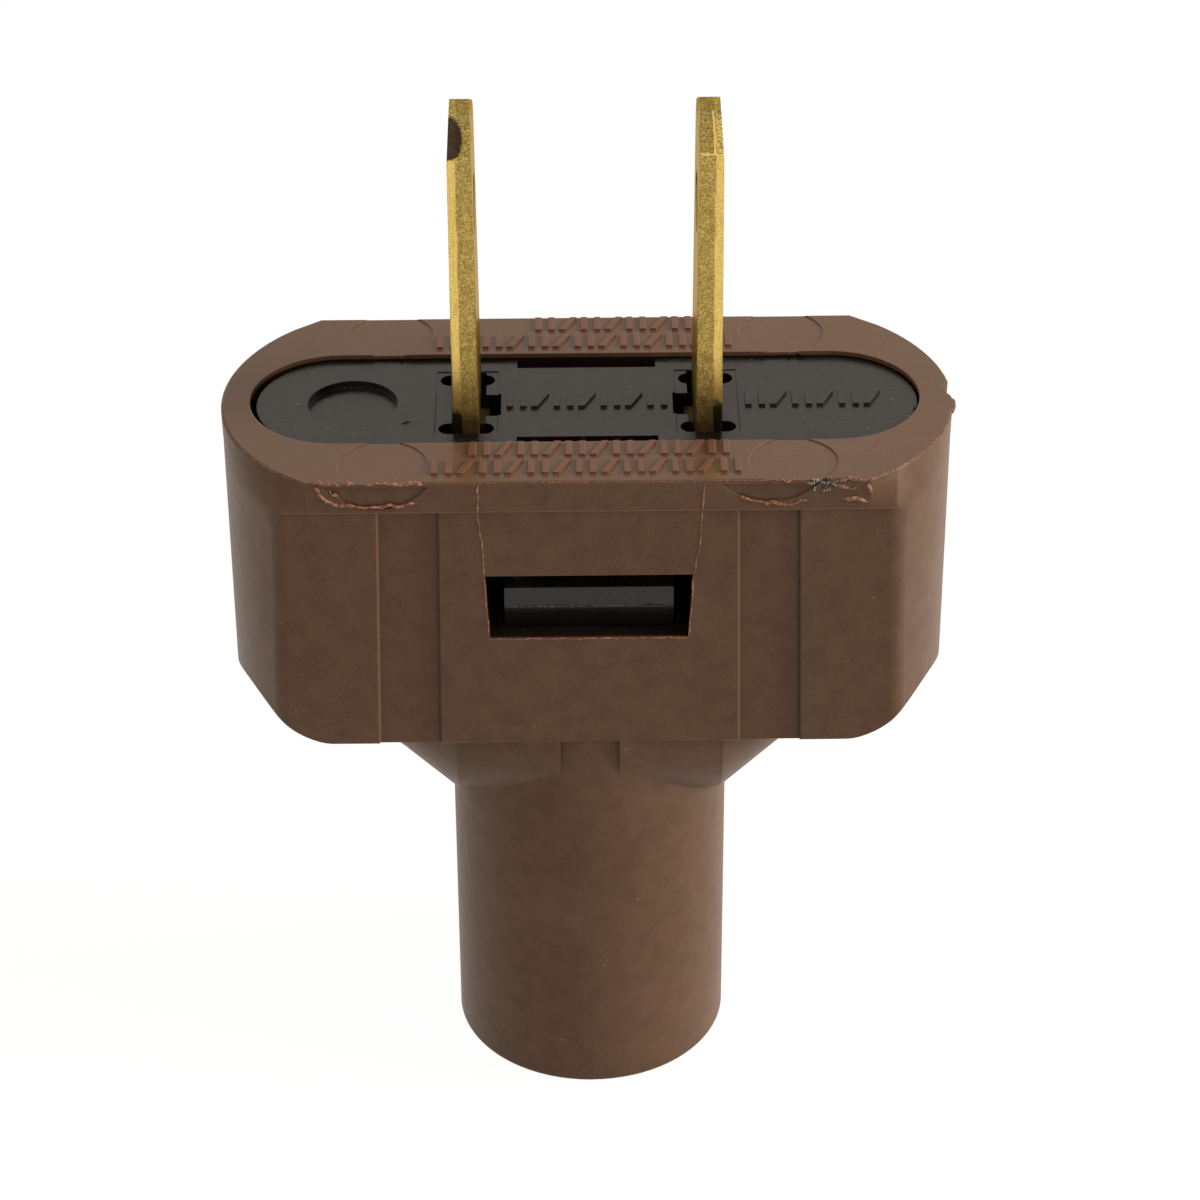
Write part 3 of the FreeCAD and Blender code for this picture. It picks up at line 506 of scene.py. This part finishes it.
def carryEllipse(path, outward, halfWidth, height, ragged, seed, sides=8):
    # point(t, a) = path(t) + across(t) * halfWidth(t) * cos(a) + outward(t) * height(t) * sin(a),
    # where across is square to the path and to outward; both half axes wander by the ragged share, in
    # coarse waves of 0.9 mm, fine ones of 0.22 mm and sideways ones of 0.35 mm, and shrink to a point
    # at each end, so the skin is closed
    path = np.asarray(path, float)
    count = len(path)
    outward = np.broadcast_to(np.asarray(outward, float), path.shape)
    tangent = np.gradient(path, axis=0)
    tangent /= np.linalg.norm(tangent, axis=1)[:, None]
    across = np.cross(tangent, outward)
    across /= np.linalg.norm(across, axis=1)[:, None]
    length = np.linalg.norm(np.diff(path, axis=0), axis=1).sum()
    ends = np.clip(np.minimum(np.arange(count), np.arange(count)[::-1]) / 4.0, 0.08, 1.0)
    coarse = wander(count, seed, max(int(length / 0.9), 3))
    fine = wander(count, seed + 1, max(int(length / 0.22), 4))
    wide = halfWidth * ends * (1 + ragged * 0.6 * coarse)
    tall = height * ends * np.clip(1 + ragged * (0.9 * fine + 0.5 * coarse), 0.1, None)
    shift = halfWidth * ragged * wander(count, seed + 2, max(int(length / 0.35), 4))
    angle = np.arange(sides) * 2 * math.pi / sides
    rings = (path[:, None] + across[:, None] * (wide[:, None] * np.cos(angle) + shift[:, None])[..., None]
             + outward[:, None] * (tall[:, None] * np.sin(angle))[..., None])
    points = np.vstack([rings.reshape(-1, 3), path[:1], path[-1:]])
    row, side = np.meshgrid(np.arange(count - 1), np.arange(sides), indexing="ij")
    here = row * sides + side
    beside = row * sides + (side + 1) % sides
    walls = np.stack([here, here + sides, beside + sides, beside], axis=-1).reshape(-1, 4)
    first = np.arange(sides)
    last = first + (count - 1) * sides
    startCap = np.column_stack([np.full(sides, count * sides), first, np.roll(first, -1)])
    endCap = np.column_stack([np.full(sides, count * sides + 1), np.roll(last, -1), last])
    return points, walls.tolist() + startCap.tolist() + endCap.tolist()


def addPiece(name, parts, material):   # one mesh object of several closed skins, given in millimetres
    points = []
    faces = []
    for partPoints, partFaces in parts:
        start = sum(len(block) for block in points)
        points.append(partPoints)
        faces += [[index + start for index in face] for face in partFaces]
    mesh = bpy.data.meshes.new(name)
    mesh.from_pydata((np.vstack(points) / metre).tolist(), [], faces)
    mesh.polygons.foreach_set("use_smooth", [True] * len(mesh.polygons))
    mesh.update()
    piece = bpy.data.objects.new(name, mesh)
    bpy.context.scene.collection.objects.link(piece)
    paint(piece, material)
    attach(piece, "root")
    print("piece", name, "with", len(faces), "faces")
    return piece


# Thin raised seams on the front face: the two that run down from the rim to the window's top corners,
# and the skin squeezed out round the window.
seamForm = {
    "left": [(-5.65, 0.1), (-5.73, 2.0), (-5.52, 3.9), (-5.46, 5.9)],      # x, drop below the contact face
    "right": [(5.93, 0.1), (5.84, 2.1), (5.74, 4.1), (5.46, 5.9)],
    "windowLeft": [(-5.46, 5.92), (-5.25, 9.92)],
    "windowFoot": [(-5.22, 9.93), (5.22, 9.93)],
    "windowRight": [(5.24, 9.88), (5.45, 5.95)],
    "halfWidth": 0.045, "height": 0.04, "ragged": 0.7, "spacing": 0.08,
}


def makeSeams():
    parts = []
    use = seamForm
    for index, name in enumerate(("left", "right", "windowLeft", "windowFoot", "windowRight")):
        flat = alongPoints(use[name], use["spacing"])
        parts.append(carryEllipse(frontFace(flat[:, 0], flat[:, 1]), (0, -1, 0), use["halfWidth"],
                                  use["height"], use["ragged"], 10 + index * 5))
    return addPiece("face_seams", parts, flash)


# Torn skin along the rim's front edge, the lips of the two crescents that ejector pins pressed in below it,
# and the spur beside the chip at the rim's right end.
lipForm = {
    "edges": [(-14.2, -11.9), (-11.5, -8.3), (9.4, 10.5), (12.5, 14.6)],   # x ranges of the torn rim edge
    "edgeHalfWidth": 0.1, "edgeHeight": 0.1, "edgeDrop": 0.03, "edgeWander": 0.05,
    "crescents": [[(-14.1, 0.15), (-13.7, 0.8), (-13.0, 1.25), (-11.6, 1.42), (-9.8, 1.4), (-8.8, 1.1)],
                  [(7.7, 0.8), (8.3, 1.15), (9.2, 1.42), (10.4, 1.42), (11.3, 1.2)]],   # x, drop
    "lipHalfWidth": 0.085, "lipHeight": 0.08, "lipWander": 0.08, "ragged": 0.9, "spacing": 0.07,
    "bits": [[(12.9, 1.2), (13.6, 1.15), (14.4, 1.3)], [(14.35, 0.15), (14.5, 1.0)],
             [(12.6, 0.35), (13.3, 0.5), (13.9, 0.45)], [(-13.3, 0.4), (-12.7, 0.9)]],
    "spur": [(19.12, -0.3), (19.27, -0.55), (19.26, -1.0), (19.08, -1.8)],   # x and y
    "spurHalfWidth": 0.2, "spurHeight": 0.21, "spurRagged": 0.12, "spurDrop": 0.22,
}


def makeTornLips():
    use = lipForm
    parts = []
    for index, (start, end) in enumerate(use["edges"]):
        x = np.arange(start, end, use["spacing"])
        path = frontFace(x, use["edgeDrop"] + use["edgeWander"] * wander(len(x), 60 + index, 12))
        parts.append(carryEllipse(path, (0, -0.8, 0.6), use["edgeHalfWidth"], use["edgeHeight"],
                                  use["ragged"], 70 + index * 5))
    for index, points in enumerate(use["crescents"] + use["bits"]):
        flat = alongPoints(points, use["spacing"])
        path = frontFace(flat[:, 0], flat[:, 1] + use["lipWander"] * wander(len(flat), 130 + index, 8))
        parts.append(carryEllipse(path, (0, -1, 0), use["lipHalfWidth"], use["lipHeight"],
                                  use["ragged"], 140 + index * 5))
    return addPiece("torn_lips", parts, flash)


def makeSpur():
    use = lipForm
    flat = alongPoints(use["spur"], use["spacing"])
    path = np.column_stack([flat, np.full(len(flat), plugForm["rimTop"] - use["spurDrop"])])
    part = carryEllipse(path, (1, 0, 0.15), use["spurHalfWidth"], use["spurHeight"], use["spurRagged"], 170)
    return addPiece("rim_spur", [part], brown)


# A fine burr along the front of the rim's outline, left by the mould's parting plane.
burrForm = {
    "halfWidth": 0.02, "height": 0.02, "ragged": 0.7, "spacing": 0.12, "inset": 0.05,
    "endY": -2.2,       # it ends on each side at this place along y
    "straight": 9.2,    # up to this |x| it points straight to the front, beyond it away from this place
    "lean": 0.7,        # as much up as out
}


def rimOutline(inset):   # the contact face's outline, moved in by inset: straight sides and two end arcs
    depth = plugForm["rimHalfDepth"] - inset
    radius = plugForm["rimEndRadius"] - inset
    middle = plugForm["rimHalfLength"] - plugForm["rimEndRadius"]
    half = math.asin(depth / radius)
    turn = np.linspace(-half, half, 60)
    right = np.column_stack([middle + radius * np.cos(turn), radius * np.sin(turn)])
    return np.vstack([right, -right, right[:1]])


def makeRimBurr():
    use = burrForm
    outline = alongPoints(rimOutline(use["inset"]), use["spacing"])
    outline = outline[outline[:, 1] < use["endY"]]
    outline = outline[np.argsort(outline[:, 0], kind="stable")]
    path = np.column_stack([outline, np.full(len(outline), plugForm["rimTop"] - use["inset"])])
    middle = np.column_stack([np.clip(outline[:, 0], -use["straight"], use["straight"]),
                              np.zeros(len(outline))])
    away = outline - middle
    away /= np.linalg.norm(away, axis=1)[:, None]
    outward = np.column_stack([use["lean"] * away, np.full(len(outline), use["lean"])])
    part = carryEllipse(path, outward, use["halfWidth"], use["height"], use["ragged"], 200)
    return addPiece("rim_burr", [part], flash)


# Grains: dirt caked by the torn edge on the right, and crumbs of black skin round the carrier.
grainForm = {
    "dirtMiddle": (12.0, 0.25), "dirtSpread": (0.45, 0.22), "dirtDrops": (-0.02, 0.9),   # x and drop; limits
    "dirtCount": 80, "dirtRadius": (0.03, 0.09),
    "crumbs": [(17.3, -1.25), (17.05, -2.15), (10.95, 4.55), (11.5, 4.6), (9.85, -4.6), (-9.95, 4.5)],
    "crumbRadius": (0.06, 0.12), "crumbDrop": 0.15, "lumps": 0.25,
    "columns": 8, "rows": 5, "lastRow": 1.2,   # of a grain's net, and the turn v of its last row in radians
}


def makeGrain(middle, radius, seed):
    # point(u, v) = middle + radius * (1 + lumps * noise(u, v)) * (cos v cos u, cos v sin u, sin v)
    use = grainForm
    columns = use["columns"]
    rows = use["rows"]
    random = np.random.default_rng(seed)
    u, v = np.meshgrid(np.arange(columns) * 2 * math.pi / columns,
                       np.linspace(-use["lastRow"], use["lastRow"], rows), indexing="ij")
    reach = radius * (1 + use["lumps"] * random.uniform(-1, 1, u.shape))
    ball = np.stack([np.cos(v) * np.cos(u), np.cos(v) * np.sin(u), np.sin(v)], axis=-1) * reach[..., None]
    points = np.vstack([ball.reshape(-1, 3), [[0, 0, -radius], [0, 0, radius]]]) + np.asarray(middle)
    column, row = np.meshgrid(np.arange(columns), np.arange(rows - 1), indexing="ij")
    here = column * rows + row
    beside = (column + 1) % columns * rows + row
    walls = np.stack([here, beside, beside + 1, here + 1], axis=-1).reshape(-1, 4)
    foot = (np.arange(columns) * rows).tolist()
    pairs = list(zip(foot, foot[1:] + foot[:1]))
    pole = columns * rows
    caps = [[pole, b, a] for a, b in pairs] + [[pole + 1, a + rows - 1, b + rows - 1] for a, b in pairs]
    return points, walls.tolist() + caps


def makeGrains():
    use = grainForm
    random = np.random.default_rng(5)
    flat = random.normal(use["dirtMiddle"], use["dirtSpread"], (use["dirtCount"], 2))
    flat[:, 1] = np.clip(flat[:, 1], *use["dirtDrops"])
    radii = random.uniform(*use["dirtRadius"], len(flat))
    middles = frontFace(flat[:, 0], flat[:, 1])
    parts = [makeGrain(middle, radius, 300 + index)
             for index, (middle, radius) in enumerate(zip(middles, radii))]
    addPiece("caked_dirt", parts, dirt)
    radii = random.uniform(*use["crumbRadius"], len(use["crumbs"]))
    height = plugForm["rimTop"] - use["crumbDrop"]
    parts = [makeGrain((x, y, height), radius, 400 + index)
             for index, ((x, y), radius) in enumerate(zip(use["crumbs"], radii))]
    addPiece("carrier_crumbs", parts, black)


# Black skin: along the lower edge of each latch lug's nose, and a short dash beside the round recess.
skinForm = {
    "lugX": 4.4, "lugY": 7.4, "lugDrop": 8.4, "lugHalfWidth": 0.035, "lugHeight": 0.05,
    "dash": [(-10.0, -2.15), (-9.6, -2.05), (-9.15, -2.0)], "dashHalfWidth": 0.09, "dashHeight": 0.11,
    "ragged": 0.5, "spacing": 0.09,
}


def makeBlackSkin():
    use = skinForm
    parts = []
    for side in (-1, 1):
        x = np.arange(-use["lugX"], use["lugX"], use["spacing"])
        path = np.column_stack([x, np.full(len(x), side * use["lugY"]),
                                np.full(len(x), plugForm["rimTop"] - use["lugDrop"])])
        parts.append(carryEllipse(path, (0, side, 0), use["lugHalfWidth"], use["lugHeight"],
                                  use["ragged"], 220 + side * 5))
    flat = alongPoints(use["dash"], use["spacing"])
    path = np.column_stack([flat, np.full(len(flat), plugForm["rimTop"] - plugForm["carrierSunk"])])
    parts.append(carryEllipse(path, (0, 0, 1), use["dashHalfWidth"], use["dashHeight"], use["ragged"], 240))
    return addPiece("black_skin", parts, blackSkin)


makeSeams()
makeTornLips()
makeSpur()
makeRimBurr()
makeGrains()
makeBlackSkin()

# Floor, light and camera: a soft lamp low on the right, and even light from all round. In metres.
stageForm = {
    "floorSize": 4.0, "floor": "#c6c6c6",
    "seenShare": 0.85, "seenWhite": 1.13,         # the camera sees this share of white, the rest is floor
    "mirroredFloor": 0.95, "mirroredRoom": 0.8,   # how bright they look in glossy surfaces
    "ambient": 0.45, "white": 1.0,
    "roomLight": "#fff6eb", "keyLight": "#fff3e4",
    "keyPlace": (0.57, -0.06, 0.24), "keyEnergy": 3.0, "keySize": 0.3,
}


def makeFloor():
    half = stageForm["floorSize"] / 2
    mesh = bpy.data.meshes.new("floor")
    corners = [(-half, -half, 0), (half, -half, 0), (half, half, 0), (-half, half, 0)]
    mesh.from_pydata(corners, [], [(0, 1, 2, 3)])
    floor = bpy.data.objects.new("floor", mesh)
    bpy.context.scene.collection.objects.link(floor)
    material = bpy.data.materials.new("white_sweep")
    material.use_nodes = True
    tree = material.node_tree
    tone = tonesOf(stageForm)
    finishMaterial(tree, {"Base Color": tone["floor"], "Roughness": 0.9, "Specular IOR Level": 0.1})
    path = addNode(tree, "LightPath", {}, {})
    clear = addNode(tree, "Math", greater,
                    {0: path["Is Camera Ray"], 1: path["Is Transmission Ray"]})["Value"]
    seen = addNode(tree, "Math", greater, {0: clear, 1: path["Is Glossy Ray"]})["Value"]
    share = addNode(tree, "Math", times, {0: seen, 1: stageForm["seenShare"]})["Value"]
    strength = addNode(tree, "MapRange", {},
                       {0: clear, 3: stageForm["mirroredFloor"], 4: stageForm["seenWhite"]})["Result"]
    tint = addNode(tree, "Mix", ofColours, {0: clear, 6: tone["roomLight"], 7: (1, 1, 1, 1)})[2]
    glow = addNode(tree, "Emission", {}, {"Color": tint, "Strength": strength})["Emission"]
    surface = tree.nodes["Principled BSDF"].outputs[0]
    mixed = addNode(tree, "MixShader", {}, {0: share, 1: surface, 2: glow})["Shader"]
    tree.links.new(mixed, tree.nodes["Material Output"].inputs["Surface"])
    paint(floor, material)


def makeLights():
    world = bpy.data.worlds.new("studio")
    bpy.context.scene.world = world
    world.use_nodes = True
    tree = world.node_tree
    tone = tonesOf(stageForm)
    path = addNode(tree, "LightPath", {}, {})
    clear = addNode(tree, "Math", greater,
                    {0: path["Is Camera Ray"], 1: path["Is Transmission Ray"]})["Value"]
    strength = addNode(tree, "MapRange", {}, {0: path["Is Glossy Ray"], 3: stageForm["ambient"],
                                              4: stageForm["mirroredRoom"]})["Result"]
    strength = addNode(tree, "MapRange", {}, {0: clear, 3: strength, 4: stageForm["white"]})["Result"]
    tint = addNode(tree, "Mix", ofColours, {0: clear, 6: tone["roomLight"], 7: (1, 1, 1, 1)})[2]
    tree.links.new(tint, tree.nodes["Background"].inputs["Color"])
    tree.links.new(strength, tree.nodes["Background"].inputs["Strength"])
    lamp = bpy.data.lights.new("key", "AREA")
    lamp.energy = stageForm["keyEnergy"]
    lamp.color = tone["keyLight"][:3]
    lamp.size = stageForm["keySize"]
    holder = bpy.data.objects.new("key", lamp)
    holder.location = stageForm["keyPlace"]
    aim = Vector((0, 0, plugForm["rimTop"] / metre)) - holder.location
    holder.rotation_euler = aim.to_track_quat("-Z", "Y").to_euler()
    bpy.context.scene.collection.objects.link(holder)


# Camera found from the photo by the outlines of the blades, rim, carrier and sleeve
cameraForm = {
    "place": (-0.85, -177.41, 144.30), "target": (0.64, 0.0, 27.89),
    "rollDegrees": -0.3, "lens": 116.19, "sensor": 36.0,
}


def makeCamera():
    camera = bpy.data.cameras.new("camera")
    camera.sensor_width = cameraForm["sensor"]
    camera.lens = cameraForm["lens"]
    camera.clip_start = 0.01
    place = Vector(cameraForm["place"]) / metre
    back = (place - Vector(cameraForm["target"]) / metre).normalized()
    right = Vector((0, 0, 1)).cross(back).normalized()
    turned = Matrix.Rotation(math.radians(cameraForm["rollDegrees"]), 3, back) @ right
    holder = bpy.data.objects.new("camera", camera)
    axes = Matrix((turned, back.cross(turned), back)).transposed()
    holder.matrix_world = Matrix.Translation(place) @ axes.to_4x4()
    bpy.context.scene.collection.objects.link(holder)
    bpy.context.scene.camera = holder


makeFloor()
makeLights()
makeCamera()
bpy.context.scene.view_settings.view_transform = "Standard"
print("stage set")
